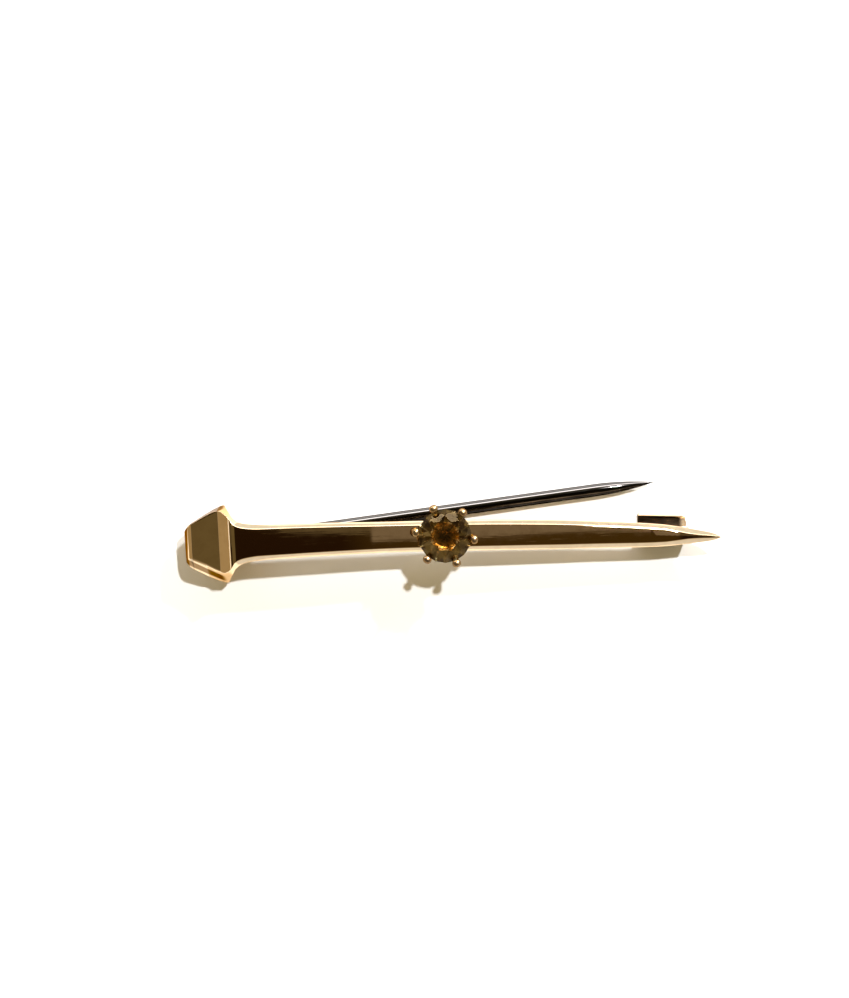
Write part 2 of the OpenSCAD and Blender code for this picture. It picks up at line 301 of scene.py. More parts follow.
class StageSizes(bpy.types.PropertyGroup):
    """Sizes of the floor, the light and the camera"""

    floor: FloatProperty(name="Floor", description="Width of the floor", default=3.0, unit="LENGTH")
    lens: FloatProperty(name="Lens", description="Focal length in millimetres", default=85.0)
    camera: FloatVectorProperty(
        name="Camera", description="Place of the camera", default=(0.01628, 0.003394, 0.2236),
        subtype="TRANSLATION",
    )
    roll: FloatProperty(
        name="Roll", description="Turn of the camera", default=math.radians(-1.07), subtype="ANGLE"
    )
    key: FloatVectorProperty(
        name="Key Light", description="Place of the key light", default=(0.084, 0.094, 0.253),
        subtype="TRANSLATION",
    )
    key_size: FloatProperty(
        name="Key Size", description="Diameter of the key light", default=0.012, unit="LENGTH"
    )
    key_power: FloatProperty(name="Key Power", description="Power of the key light in watts", default=0.82)
    low: FloatVectorProperty(
        name="Low Light", description="Place of the lower light", default=(0.143, 0.18, 0.174),
        subtype="TRANSLATION",
    )
    low_size: FloatProperty(
        name="Low Size", description="Diameter of the lower light", default=0.02, unit="LENGTH"
    )
    low_power: FloatProperty(name="Low Power", description="Power of the lower light in watts", default=0.84)


def begin():
    """Leaves edit mode and deselects everything, so that an operator acts on the new piece alone."""
    if bpy.context.object and bpy.context.object.mode != "OBJECT":
        bpy.ops.object.mode_set(mode="OBJECT")
    bpy.ops.object.select_all(action="DESELECT")


def edit():
    """Enters edit mode on the active object."""
    bpy.ops.object.mode_set(mode="EDIT")


def done():
    """Returns to object mode."""
    bpy.ops.object.mode_set(mode="OBJECT")


def pick(kind, test):
    """In edit mode, selects the mesh's verts, edges or faces that pass the test, and no others."""
    modes = {"verts": "VERT", "edges": "EDGE", "faces": "FACE"}
    bpy.ops.mesh.select_mode(type=modes[kind])
    bpy.ops.mesh.select_all(action="DESELECT")
    data = bpy.context.edit_object.data
    mesh = bmesh.from_edit_mesh(data)
    chosen = [part for part in getattr(mesh, kind) if test(part)]
    for part in chosen:
        part.select_set(True)
    mesh.select_flush_mode()
    bmesh.update_edit_mesh(data)
    if not chosen:
        raise RuntimeError("nothing was selected on " + bpy.context.edit_object.name)


def near(value, target, reach=TOUCHING):
    """True if a value is within reach of its target."""
    return abs(value - target) < reach


def add_modifier(obj, kind, **values):
    """Adds a modifier with these values and applies it."""
    modifier = obj.modifiers.new(kind.title(), kind)
    for name, value in values.items():
        setattr(modifier, name, value)
    bpy.context.view_layer.objects.active = obj
    bpy.ops.object.modifier_apply(modifier=modifier.name)


def combine(obj, other, operation):
    """Unites a piece with another solid, or cuts the other out of it, and removes the other."""
    add_modifier(obj, "BOOLEAN", operation=operation, object=other, solver="EXACT")
    bpy.data.objects.remove(other, do_unlink=True)


def recalculate():
    """In object mode, merges doubles of the active piece and turns its faces outwards."""
    edit()
    bpy.ops.mesh.select_all(action="SELECT")
    bpy.ops.mesh.remove_doubles(threshold=SAME_POINT)
    bpy.ops.mesh.normals_make_consistent(inside=False)
    done()


def bake_place(obj):
    """Applies an object's place, turn and size to its mesh."""
    bpy.ops.object.select_all(action="DESELECT")
    obj.select_set(True)
    bpy.context.view_layer.objects.active = obj
    bpy.ops.object.transform_apply(location=True, rotation=True, scale=True)


def finish_piece(obj, name, material, body, node, angle=30.0):
    """Names a piece, smooths it, gives it its material and ties it to the frame."""
    obj.name = name
    obj.data.name = name
    bake_place(obj)
    bpy.ops.object.shade_smooth_by_angle(angle=math.radians(angle))
    obj.data.materials.clear()
    obj.data.materials.append(material)
    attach(obj, body)
    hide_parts(node)


def disc(radius, bottom, top, centre=(0.0, 0.0), vertices=48):
    """Adds an upright round solid and returns it."""
    begin()
    bpy.ops.mesh.primitive_cylinder_add(
        vertices=vertices,
        radius=radius,
        depth=top - bottom,
        location=(centre[0], centre[1], (bottom + top) / 2),
    )
    obj = bpy.context.object
    bake_place(obj)
    return obj


def sides_of(section):
    """The half width, height and shift in metres of a section's pairs of corners, lowest first."""
    pairs = (
        (section[HALF_BACK], section[BACK], 0.0),
        (section[HALF_EDGE], section[EDGE], 0.0),
        (section[HALF_FACE], section[FACE], section[LEAN]),
    )
    return [(half * MM, height * MM, shift * MM) for half, height, shift in pairs]


def shape_cap(station, smooth):
    """Moves the three pairs of corners of the selected cap to their places at a station."""
    section = [section_value(column, station, smooth) for column in range(len(SECTIONS[0]))]
    data = bpy.context.edit_object.data
    mesh = bmesh.from_edit_mesh(data)
    mesh.verts.index_update()
    cap = sorted((v.co.z, v.index) for v in mesh.verts if v.select)
    indices = [index for _, index in cap]
    for level, (half, height, shift) in enumerate(sides_of(section)):
        pair = indices[2 * level : 2 * level + 2]
        mesh = bmesh.from_edit_mesh(data)
        mesh.verts.ensure_lookup_table()
        for vertex in mesh.verts:
            vertex.select_set(vertex.index in pair)
        first, second = (mesh.verts[index].co for index in pair)
        x, z = first.x, first.z
        middle = (first.y + second.y) / 2
        now = abs(first.y - second.y) / 2
        bpy.ops.transform.resize(value=(1, half / now, 1), center_override=(x, middle, z))
        bpy.ops.transform.translate(value=(0, shift - middle, height - z))
    pick("faces", lambda face: all(near(v.co.x, x, SAME_POINT) for v in face.verts))


def nail_stations(size):
    """The stations of the nail's sections: the head's own rows, then close ones along its curves."""
    stations = [section[STATION] for section in SECTIONS if section[STATION] <= size.smooth_from]
    neck_steps = round((size.neck_end - size.smooth_from) * MM / size.neck_step)
    for step in range(1, neck_steps + 1):
        stations.append(size.smooth_from + (size.neck_end - size.smooth_from) * step / neck_steps)
    shank_steps = round((NAIL_LENGTH - size.neck_end) * MM / size.shank_step)
    for step in range(1, shank_steps + 1):
        stations.append(size.neck_end + (NAIL_LENGTH - size.neck_end) * step / shank_steps)
    return stations


class BROOCH_OT_nail(bpy.types.Operator):
    """Model the horseshoe nail, extruded section by section, with its edges rounded"""

    bl_idname = "brooch.nail"
    bl_label = "Nail"

    def execute(self, context):
        size = context.scene.brooch_nail
        begin()
        start = (-HINGE_STATION * MM, 0, SECTIONS[0][FACE] * MM)
        bpy.ops.mesh.primitive_circle_add(
            vertices=6, radius=1 * MM, fill_type="NGON", location=start, rotation=(0, math.pi / 2, 0)
        )
        nail = context.object
        bake_place(nail)
        edit()
        bpy.ops.mesh.select_mode(type="VERT")
        bpy.ops.mesh.select_all(action="SELECT")
        stations = nail_stations(size)
        shape_cap(stations[0], False)
        for before, station in zip(stations, stations[1:]):
            bpy.ops.mesh.extrude_region_move(
                TRANSFORM_OT_translate={"value": ((station - before) * MM, 0, 0)}
            )
            shape_cap(station, station > size.smooth_from)
        bpy.ops.mesh.select_all(action="SELECT")
        bpy.ops.mesh.normals_make_consistent(inside=False)
        self.weigh_edges(size)
        done()
        add_modifier(
            nail, "BEVEL", limit_method="WEIGHT", width=size.head_rounding, segments=4,
            use_clamp_overlap=False,
        )
        self.bend(nail)
        self.seat(nail, size)
        finish_piece(nail, "nail", gold(), BAR, "nail_bar", 35.0)
        add_modifier(
            nail, "WEIGHTED_NORMAL", mode="FACE_AREA_WITH_ANGLE", weight=100, thresh=0.0, keep_sharp=True
        )
        return {"FINISHED"}

    def weigh_edges(self, size):
        """Sets how much each edge is rounded: widely below the head's panel, finely elsewhere."""
        crease = math.radians(12)
        start, end = ((SECTIONS[row][STATION] - HINGE_STATION) * MM for row in PANEL_ROWS)
        smooth_from = (size.smooth_from - HINGE_STATION) * MM
        data = bpy.context.edit_object.data
        mesh = bmesh.from_edit_mesh(data)
        weight = mesh.edges.layers.float.new("bevel_weight_edge")
        for edge in mesh.edges:
            first, second = (v.co for v in edge.verts)
            across = near(first.x, second.x) and first.x > smooth_from
            if across or not edge.is_manifold or edge.calc_face_angle() < crease:
                continue
            low, high = sorted((first.x, second.x))
            station = min(max(high / MM + HINGE_STATION, 0.0), NAIL_LENGTH)
            half_face = section_value(HALF_FACE, station) * MM
            rounding = min(size.edge_radius, half_face * size.point_share)
            along_panel = start - TOUCHING < low and high < end + TOUCHING
            if along_panel and max(first.y, second.y) < 0 and min(first.z, second.z) > size.panel_height:
                rounding = size.head_rounding
            edge[weight] = rounding / size.head_rounding
        bmesh.update_edit_mesh(data)

    def bend(self, nail):
        """Bows the straight nail about its middle."""
        middle = bpy.data.objects.new("middle", None)
        bpy.context.scene.collection.objects.link(middle)
        middle.location = ((NAIL_LENGTH / 2 - HINGE_STATION) * MM, 0, 0)
        bpy.context.view_layer.update()
        bow = -2 * turn_at(0)
        add_modifier(nail, "SIMPLE_DEFORM", deform_method="BEND", deform_axis="Z", angle=bow, origin=middle)
        bpy.data.objects.remove(middle, do_unlink=True)
        nail.location.y = (NAIL_BOW - HINGE_Y) * MM
        bake_place(nail)

    def seat(self, nail, size):
        """Drills the seat that leaves room for the stone's point."""
        face = section_value(FACE, STONE_STATION) * MM
        centre = nail_point(STONE_STATION, 0, 0)
        drill = disc(size.seat_radius, face - size.seat_depth, face + size.seat_depth, (centre.x, centre.y))
        combine(nail, drill, "DIFFERENCE")


class BROOCH_OT_setting(bpy.types.Operator):
    """Model the claws on their two rings"""

    bl_idname = "brooch.setting"
    bl_label = "Claw Setting"

    def execute(self, context):
        size = context.scene.brooch_setting
        centre = nail_point(STONE_STATION, 0, 0)
        centre.z = size.girdle_height
        foot = section_value(FACE, STONE_STATION) - SINK - size.girdle_height / MM
        pieces = [
            self.ring(foot, foot + FOOT_HEIGHT, FOOT_INNER, FOOT_OUTER),
            self.ring(GALLERY_BOTTOM, GALLERY_TOP, GALLERY_INNER, GALLERY_OUTER),
        ]
        first = self.claw(size, foot)
        for k in range(size.claws):
            begin()
            first.select_set(True)
            context.view_layer.objects.active = first
            bpy.ops.object.duplicate(linked=False)
            claw = context.object
            claw.rotation_euler.z = size.turn + k * math.tau / size.claws
            bake_place(claw)
            pieces.append(claw)
        bpy.data.objects.remove(first, do_unlink=True)
        begin()
        for piece in pieces:
            piece.select_set(True)
        context.view_layer.objects.active = pieces[0]
        bpy.ops.object.join()
        setting = context.object
        setting.location = centre
        bake_place(setting)
        finish_piece(setting, "claw_setting", claw_gold(), BAR, "nail_bar", 40.0)
        return {"FINISHED"}

    def ring(self, bottom, top, inner, outer):
        """A ring with rounded edges, spun from its section, whose sizes are in millimetres."""
        corner = 0.07 * MM
        begin()
        bpy.ops.mesh.primitive_plane_add(size=1, rotation=(math.pi / 2, 0, 0))
        ring = bpy.context.object
        ring.scale = ((outer - inner) * MM, (top - bottom) * MM, 1)
        ring.location = ((inner + outer) / 2 * MM, 0, (bottom + top) / 2 * MM)
        bake_place(ring)
        edit()
        bpy.ops.mesh.select_all(action="SELECT")
        bpy.ops.mesh.bevel(offset=corner, segments=3, affect="VERTICES")
        bpy.ops.mesh.select_all(action="SELECT")
        bpy.ops.mesh.spin(steps=64, angle=math.tau, center=(0, 0, 0), axis=(0, 0, 1))
        pick("faces", lambda face: len(face.verts) > 4)
        bpy.ops.mesh.delete(type="ONLY_FACE")
        done()
        recalculate()
        return ring

    def claw(self, size, foot):
        """One claw along +X, drawn up from its foot and rounded over the stone's edge."""
        inner = (size.stone_radius + size.stone_gap) / MM
        outer = inner + size.claw_depth / MM
        half = size.claw_width / 2 / MM
        # Height, inner and outer distance from the axis, and half width of each section, in millimetres
        sections = (
            (foot, FOOT_INNER, FOOT_OUTER, half),
            (-0.95, 1.72, GALLERY_OUTER, half),
            (-0.3, inner - 0.04, outer, half),
            (0.1, inner, outer + 0.02, half * 1.05),
            (0.22, inner - 0.14, outer + 0.04, half * 1.35),
            (0.52, inner - 0.22, outer + 0.03, half * 1.4),
            (0.79, inner - 0.08, outer - 0.1, half),
        )
        levels = [[value * MM for value in section] for section in sections]
        begin()
        height, low, high, wide = levels[0]
        bpy.ops.mesh.primitive_plane_add(size=1, location=((low + high) / 2, 0, height))
        claw = bpy.context.object
        claw.scale = (high - low, 2 * wide, 1)
        bake_place(claw)
        edit()
        bpy.ops.mesh.select_all(action="SELECT")
        for before, level in zip(levels, levels[1:]):
            move = ((level[1] + level[2] - before[1] - before[2]) / 2, 0, level[0] - before[0])
            bpy.ops.mesh.extrude_region_move(TRANSFORM_OT_translate={"value": move})
            middle = ((level[1] + level[2]) / 2, 0, level[0])
            stretch = ((level[2] - level[1]) / (before[2] - before[1]), level[3] / before[3], 1)
            bpy.ops.transform.resize(value=stretch, center_override=middle)
        done()
        recalculate()
        add_modifier(claw, "SUBSURF", levels=3, render_levels=3)
        return claw


class BROOCH_OT_hinge(bpy.types.Operator):
    """Model the hinge's bracket and its rivet"""

    bl_idname = "brooch.hinge"
    bl_label = "Hinge"

    def execute(self, context):
        size = context.scene.brooch_hinge
        pin = context.scene.brooch_pin
        eye_bottom = size.foot + size.gap
        plate_bottom = 2 * pin.height - eye_bottom + size.gap
        plate_top = plate_bottom + size.plate
        back = section_value(BACK, HINGE_STATION, False) * MM
        leaf_top = back + SINK * MM
        leaf_bottom = back - 0.4 * MM
        edge = 0.05 * MM
        bracket = self.plate(size, 0, size.foot)
        combine(bracket, self.plate(size, plate_bottom, plate_top), "UNION")
        combine(bracket, self.plate(size, leaf_bottom, leaf_top), "UNION")
        combine(bracket, self.web(size, leaf_top), "UNION")
        bore = disc(size.rivet_radius + RIVET_GAP * MM, -1 * MM, plate_top + 0.06 * MM)
        combine(bracket, bore, "DIFFERENCE")
        add_modifier(
            bracket, "BEVEL", width=edge, segments=2, limit_method="ANGLE", angle_limit=math.radians(50)
        )
        finish_piece(bracket, "hinge_bracket", gold(), BAR, "nail_bar")
        rivet_bottom = 0.03 * MM
        rivet_top = plate_top + 0.04 * MM
        self.rivet(size, rivet_bottom, rivet_top)
        return {"FINISHED"}

    def plate(self, size, bottom, top):
        """A round plate with a tab that runs back to the web."""
        plate = disc(size.plate_radius, bottom, top, vertices=64)
        reach = -size.plate_radius - size.web
        half = size.web_width / 2
        edit()
        pick(
            "faces",
            lambda face: near(face.normal.z, 0, 0.1)
            and face.normal.x < 0
            and abs(face.calc_center_median().y) < half,
        )
        bpy.ops.mesh.extrude_region_move(TRANSFORM_OT_translate={"value": (-size.web, 0, 0)})
        bpy.ops.transform.resize(value=(0, 1, 1), center_override=(reach, 0, 0))
        done()
        return plate

    def web(self, size, top):
        """The upright web behind the plates, with its lowest edge rounded as the strip is bent."""
        bend = 0.2 * MM
        behind = -size.plate_radius - size.web / 2
        begin()
        bpy.ops.mesh.primitive_cube_add(size=1, location=(behind, 0, top / 2))
        web = bpy.context.object
        web.scale = (size.web, size.web_width, top)
        bake_place(web)
        edit()
        pick("edges", lambda edge: all(near(v.co.z, 0) and v.co.x < behind for v in edge.verts))
        bpy.ops.mesh.bevel(offset=bend, segments=5, affect="EDGES")
        done()
        return web

    def rivet(self, size, bottom, top):
        """The rivet, with a dome worked on each end."""
        dome = 0.07 * MM
        rivet = disc(size.rivet_radius, bottom, top, vertices=40)
        edit()
        for height in (bottom, top):
            pick("faces", lambda face: near(face.calc_center_median().z, height) and len(face.verts) > 4)
            bpy.ops.mesh.bevel(offset=dome, segments=4, affect="EDGES")
        done()
        finish_piece(rivet, "rivet", gold(), BAR, "hinge_rivet")


class BROOCH_OT_catch(bpy.types.Operator):
    """Model the catch, bent from a strip"""

    bl_idname = "brooch.catch"
    bl_label = "Catch"

    def execute(self, context):
        size = context.scene.brooch_catch
        middle = CATCH_STATION + CATCH_LENGTH / 2
        outer = (section_value(BACK, middle, False) + SINK) / 2 * MM
        length = CATCH_LENGTH * MM
        leaf = 0.4 * MM
        edge = 0.06 * MM
        lip_centre = size.reach - size.lip
        begin()
        bpy.ops.mesh.primitive_plane_add(size=1, location=(length / 2, size.centre + leaf / 2, 2 * outer))
        catch = context.object
        catch.scale = (length, leaf, 1)
        bake_place(catch)
        edit()
        pick("edges", lambda edge: all(near(v.co.y, size.centre) for v in edge.verts))
        self.spin(math.pi, 20, (0, size.centre, outer))
        bpy.ops.mesh.extrude_edges_move(TRANSFORM_OT_translate={"value": (0, lip_centre - size.centre, 0)})
        self.spin(math.pi / 2, 10, (0, lip_centre, size.lip))
        bpy.ops.mesh.select_all(action="SELECT")
        bpy.ops.mesh.normals_make_consistent(inside=False)
        done()
        self.thicken(catch, size)
        self.round_corner(size, length)
        add_modifier(
            catch, "BEVEL", width=edge, segments=3, limit_method="ANGLE", angle_limit=math.radians(40)
        )
        catch.location = nail_point(CATCH_STATION, 0, 0)
        catch.rotation_euler.z = turn_at(middle)
        bake_place(catch)
        finish_piece(catch, "catch", catch_gold(), BAR, "nail_bar")
        return {"FINISHED"}

    def spin(self, angle, steps, centre):
        """Spins the selected edge about an axis along X."""
        bpy.ops.mesh.spin(steps=steps, angle=-angle, center=centre, axis=(1, 0, 0))

    def thicken(self, catch, size):
        """Gives the strip its wall on the inner side of the hook."""
        probe = min(catch.data.polygons, key=lambda face: face.center.z)
        inward = 1.0 if probe.normal.z > 0 else -1.0
        add_modifier(catch, "SOLIDIFY", thickness=size.wall, offset=inward, use_even_offset=True)

    def round_corner(self, size, length):
        """Rounds the lip's corner at the nail's point with cuts that touch its arc."""
        centre = Vector((length - size.corner, size.reach - size.corner, 0))
        cuts = 7
        edit()
        for k in range(1, cuts + 1):
            angle = math.pi / 2 * k / (cuts + 1)
            normal = Vector((math.cos(angle), math.sin(angle), 0))
            bpy.ops.mesh.select_all(action="SELECT")
            bpy.ops.mesh.bisect(
                plane_co=centre + normal * size.corner, plane_no=normal, use_fill=True, clear_outer=True
            )
        done()


class BROOCH_OT_pin(bpy.types.Operator):
    """Model the pin, with its eye, flattened neck, shank and point"""

    bl_idname = "brooch.pin"
    bl_label = "Pin"

    def execute(self, context):
        size = context.scene.brooch_pin
        hinge = context.scene.brooch_hinge
        pin = self.shank(size)
        eye_bottom = hinge.foot + hinge.gap
        eye_edge = 0.1 * MM
        eye = disc(size.eye_radius, eye_bottom, 2 * size.height - eye_bottom, vertices=64)
        edit()
        pick("edges", lambda edge: near(edge.verts[0].co.z, edge.verts[1].co.z))
        bpy.ops.mesh.bevel(offset=eye_edge, segments=4, affect="EDGES")
        done()
        combine(pin, eye, "UNION")
        combine(pin, disc(hinge.rivet_radius + BORE_PLAY * MM, -1 * MM, 3 * MM), "DIFFERENCE")
        pin.rotation_euler.z = size.angle
        bake_place(pin)
        finish_piece(pin, "pin_stem", steel(), PIN, "pin", 35.0)
        return {"FINISHED"}

    def shank(self, size):
        """The pin without its eye, drawn out from inside the eye to the tip."""
        radius = size.radius
        taper = size.length - size.point
        neck = 1.3 * MM
        neck_width = 0.39 * MM
        neck_height = 0.44 * MM
        swell = 1.4 * MM
        tip = 0.03 * MM
        swell_steps = 8
        point_steps = 12
        # Distance from the hinge, half width and half height of each section
        sections = [(0.55 * MM, 0.38 * MM, 0.42 * MM), (neck, neck_width, neck_height)]
        for k in range(1, swell_steps + 1):
            t = k / swell_steps
            ease = t * t * (3 - 2 * t)
            wide = neck_width + (radius - neck_width) * ease
            high = neck_height + (radius - neck_height) * ease
            sections.append((neck + t * swell, wide, high))
        sections.append((taper, radius, radius))
        for k in range(1, point_steps + 1):
            t = k / point_steps
            left = radius * (1 - t * t) + tip * t
            sections.append((taper + t * size.point, left, left))
        begin()
        bpy.ops.mesh.primitive_circle_add(
            vertices=32, radius=1 * MM, fill_type="NGON", rotation=(0, math.pi / 2, 0)
        )
        shank = bpy.context.object
        x, wide, high = sections[0]
        shank.location = (x, 0, size.height)
        bake_place(shank)
        edit()
        bpy.ops.mesh.select_all(action="SELECT")
        bpy.ops.transform.resize(value=(1, wide / MM, high / MM), center_override=(x, 0, size.height))
        for before, section in zip(sections, sections[1:]):
            move = (section[0] - before[0], 0, 0)
            bpy.ops.mesh.extrude_region_move(TRANSFORM_OT_translate={"value": move})
            bpy.ops.transform.resize(
                value=(1, section[1] / before[1], section[2] / before[2]),
                center_override=(section[0], 0, size.height),
            )
        done()
        recalculate()
        return shank


class BROOCH_OT_stone(bpy.types.Operator):
    """Finish the stone of the frame as a transparent gem"""

    bl_idname = "brooch.stone"
    bl_label = "Stone"

    def execute(self, context):
        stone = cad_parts["stone"]
        for material_slot in stone.material_slots:
            material_slot.material = gem()
        if not stone.material_slots:
            stone.data.materials.append(gem())
        return {"FINISHED"}


class BROOCH_OT_stage(bpy.types.Operator):
    """Make the floor, the light, the world and the camera"""

    bl_idname = "brooch.stage"
    bl_label = "Stage"

    def execute(self, context):
        size = context.scene.brooch_stage
        begin()
        bpy.ops.mesh.primitive_plane_add(size=size.floor)
        floor = context.object
        floor.name = "floor"
        floor.data.materials.append(floor_paint())
        self.lamp("key", size.key, size.key_size, size.key_power)
        self.lamp("low", size.low, size.low_size, size.low_power)
        context.scene.world = room()
        data = bpy.data.cameras.new("camera")
        data.lens = size.lens
        data.clip_start = 0.01
        data.clip_end = 10
        camera = bpy.data.objects.new("camera", data)
        camera.location = size.camera
        camera.rotation_euler = (0, 0, size.roll)
        context.scene.collection.objects.link(camera)
        context.scene.camera = camera
        context.scene.view_settings.view_transform = "Standard"
        return {"FINISHED"}

    def lamp(self, name, place, width, power):
        """A round light that faces the brooch."""
        light = bpy.data.lights.new(name, "AREA")
        light.shape = "DISK"
        light.size = width
        light.energy = power
        lamp = bpy.data.objects.new(name, light)
        lamp.location = place
        lamp.rotation_euler = Vector(place).to_track_quat("Z", "Y").to_euler()
        bpy.context.scene.collection.objects.link(lamp)


class Nodes:
    """Adds nodes to a tree and links them."""

    def __init__(self, tree):
        self.tree = tree
        tree.nodes.clear()

    def add(self, kind, settings=None, **inputs):
        """A node with its settings, and its inputs, by name or as i0, set to values or linked."""
        node = self.tree.nodes.new(kind)
        for name, value in (settings or {}).items():
            setattr(node, name, value)
        for name, value in inputs.items():
            numbered = name[0] == "i" and name[1:].isdigit()
            socket = node.inputs[int(name[1:]) if numbered else name.replace("_", " ")]
            if isinstance(value, bpy.types.NodeSocket):
                self.tree.links.new(value, socket)
            else:
                socket.default_value = value
        return node

    def maths(self, operation, a, b=0.0, c=0.0):
        """The result of a sum on values or sockets."""
        return self.add("ShaderNodeMath", {"operation": operation}, i0=a, i1=b, i2=c).outputs[0]

    def product(self, *factors):
        """The product of values or sockets."""
        result = factors[0]
        for factor in factors[1:]:
            result = self.maths("MULTIPLY", result, factor)
        return result

    def step(self, value, low, high):
        """A smooth step from 0 at low to 1 at high, which may also lie below low."""
        smooth = {"interpolation_type": "SMOOTHSTEP"}
        return self.add("ShaderNodeMapRange", smooth, Value=value, From_Min=low, From_Max=high).outputs[0]

    def step_mm(self, value, places):
        """A smooth step between two places in millimetres."""
        return self.step(value, places[0] * MM, places[1] * MM)

    def mix(self, share, first, second):
        """A colour between two colours."""
        return self.add("ShaderNodeMix", {"data_type": "RGBA"}, i0=share, i6=first, i7=second).outputs[2]

    def ramp(self, value, stops):
        """A colour ramp from pairs of place and colour."""
        node = self.add("ShaderNodeValToRGB", Fac=value)
        while len(node.color_ramp.elements) < len(stops):
            node.color_ramp.elements.new(0.5)
        for element, (place, colour) in zip(node.color_ramp.elements, stops):
            element.position = place
            element.color = colour
        return node.outputs[0]

    def place(self, kind="Object"):
        """A texture coordinate."""
        return self.add("ShaderNodeTexCoord").outputs[kind]

    def split(self, vector):
        """The three parts of a vector."""
        return self.add("ShaderNodeSeparateXYZ", Vector=vector).outputs

    def wear(self, along, across, depth):
        """The outputs of the wear group with these values."""
        group = {"node_tree": wear_group()}
        return self.add("ShaderNodeGroup", group, Along=along, Across=across, Depth=depth).outputs

    def surface(self, **inputs):
        """Ends a material in a Principled surface with these inputs."""
        shader = self.add("ShaderNodeBsdfPrincipled", **inputs)
        self.add("ShaderNodeOutputMaterial", Surface=shader.outputs[0])

    def metal(self, base, rough, normal):
        """Ends a material in metal that keeps its colour where it is seen at a low angle."""
        self.surface(Base_Color=base, Metallic=1.0, Roughness=rough, Specular_Tint=base, Normal=normal)


def colour(values, share=1.0):
    """A share of a colour, with its alpha."""
    return (*(share * part for part in values), 1.0)


def new_material(name):
    """A material and the helper for its nodes, or the one that is there already and None."""
    if name in bpy.data.materials and bpy.data.materials[name].get("finished"):
        return bpy.data.materials[name], None
    material = bpy.data.materials.new(name)
    material.use_nodes = True
    material["finished"] = True
    return material, Nodes(material.node_tree)


def wear_group():
    """Node group: a surface with fine scratches along X, and soft smudges, on Object coordinates."""
    name = "fine wear"
    if name in bpy.data.node_groups:
        return bpy.data.node_groups[name]
    group = bpy.data.node_groups.new(name, "ShaderNodeTree")
    face = group.interface
    for label, default in (("Along", 300.0), ("Across", 6000.0), ("Depth", 0.1)):
        socket = face.new_socket(name=label, in_out="INPUT", socket_type="NodeSocketFloat")
        socket.default_value = default
    face.new_socket(name="Smudges", in_out="OUTPUT", socket_type="NodeSocketFloat")
    face.new_socket(name="Normal", in_out="OUTPUT", socket_type="NodeSocketVector")
    nodes = Nodes(group)
    inputs = nodes.add("NodeGroupInput")
    along, across, depth = (inputs.outputs[label] for label in ("Along", "Across", "Depth"))
    place = nodes.place()
    scale = nodes.add("ShaderNodeCombineXYZ", X=along, Y=across, Z=across)
    stretched = nodes.add("ShaderNodeVectorMath", {"operation": "MULTIPLY"}, i0=place, i1=scale.outputs[0])
    fine = nodes.add("ShaderNodeTexNoise", Vector=stretched.outputs[0], Scale=1.0, Detail=3.0)
    soft = nodes.add("ShaderNodeTexNoise", Vector=place, Scale=900.0, Detail=4.0, Roughness=0.6)
    scratches = nodes.step(fine.outputs[0], 0.55, 0.8)
    smudges = nodes.step(soft.outputs[0], 0.35, 0.7)
    height = nodes.maths("ADD", fine.outputs[0], scratches)
    bump = nodes.add("ShaderNodeBump", Strength=depth, Distance=0.01 * MM, Height=height)
    nodes.add("NodeGroupOutput", Smudges=smudges, Normal=bump.outputs[0])
    return group


def gold():
    """Polished yellow gold with fine scratches, smudges and a little tarnish, and with painted shade and a
    painted dark reflection on the head's sides.
    """
    material, nodes = new_material("gold")
    if nodes is None:
        return material
    look = bpy.context.scene.brooch_finish
    wear = nodes.wear(250.0, 5000.0, 0.008)
    base = nodes.mix(nodes.product(wear["Smudges"], 0.18), colour(look.gold), colour(look.tarnish))
    sides, north_painted_reflection = head_masks(nodes)
    # Painted shade on the head's end and south side, for the shaded floor that they mirror
    base = nodes.mix(nodes.product(sides, 0.85), base, colour(look.painted_shade_gold))
    # Painted dark reflection on the head's north bevel
    base = nodes.mix(nodes.product(north_painted_reflection, 0.9), base, colour(look.brown_tarnish_and_painted_shade))
    rough = nodes.maths("MULTIPLY_ADD", wear["Smudges"], 0.014, 0.012)
    nodes.metal(base, rough, wear["Normal"])
    return material


def beyond_panel(nodes, x, y, side):
    """Distance beyond the edge of the head's panel, on its side at +Y (1) or at -Y (-1)."""
    rows = [SECTIONS[row] for row in PANEL_ROWS]
    first, second = (nail_point(row[STATION], row[LEAN] + side * row[HALF_FACE], 0) for row in rows)
    slope = (second.y - first.y) / (second.x - first.x)
    edge = nodes.maths("MULTIPLY_ADD", x, slope, first.y - slope * first.x)
    return nodes.product(nodes.maths("SUBTRACT", y, edge), side)


def head_masks(nodes):
    """Masks on the head: painted shade on its end and its south side, and a painted dark reflection on its
    north bevel.
    """
    x, y, _ = nodes.split(nodes.place())
    head = nodes.step_mm(x, HEAD_WEST_OF)
    north = nodes.step_mm(beyond_panel(nodes, x, y, 1), PANEL_NORTH)
    south = beyond_panel(nodes, x, y, -1)
    # The south strip and the end take the painted shade, the north bevel takes a painted dark reflection
    strip = nodes.product(nodes.step_mm(south, STRIP_INNER), nodes.step_mm(south, STRIP_OUTER), head)
    sides = nodes.maths("MAXIMUM", strip, nodes.step_mm(x, HEAD_END))
    return sides, nodes.product(north, head)


def claw_gold():
    """The setting's gold, worn dull."""
    material, nodes = new_material("claw gold")
    if nodes is None:
        return material
    look = bpy.context.scene.brooch_finish
    wear = nodes.wear(900.0, 900.0, 0.05)
    base = nodes.mix(wear["Smudges"], colour(look.tarnish, 0.7), colour(look.brown_tarnish_and_painted_shade))
    nodes.metal(base, 0.27, wear["Normal"])
    return material


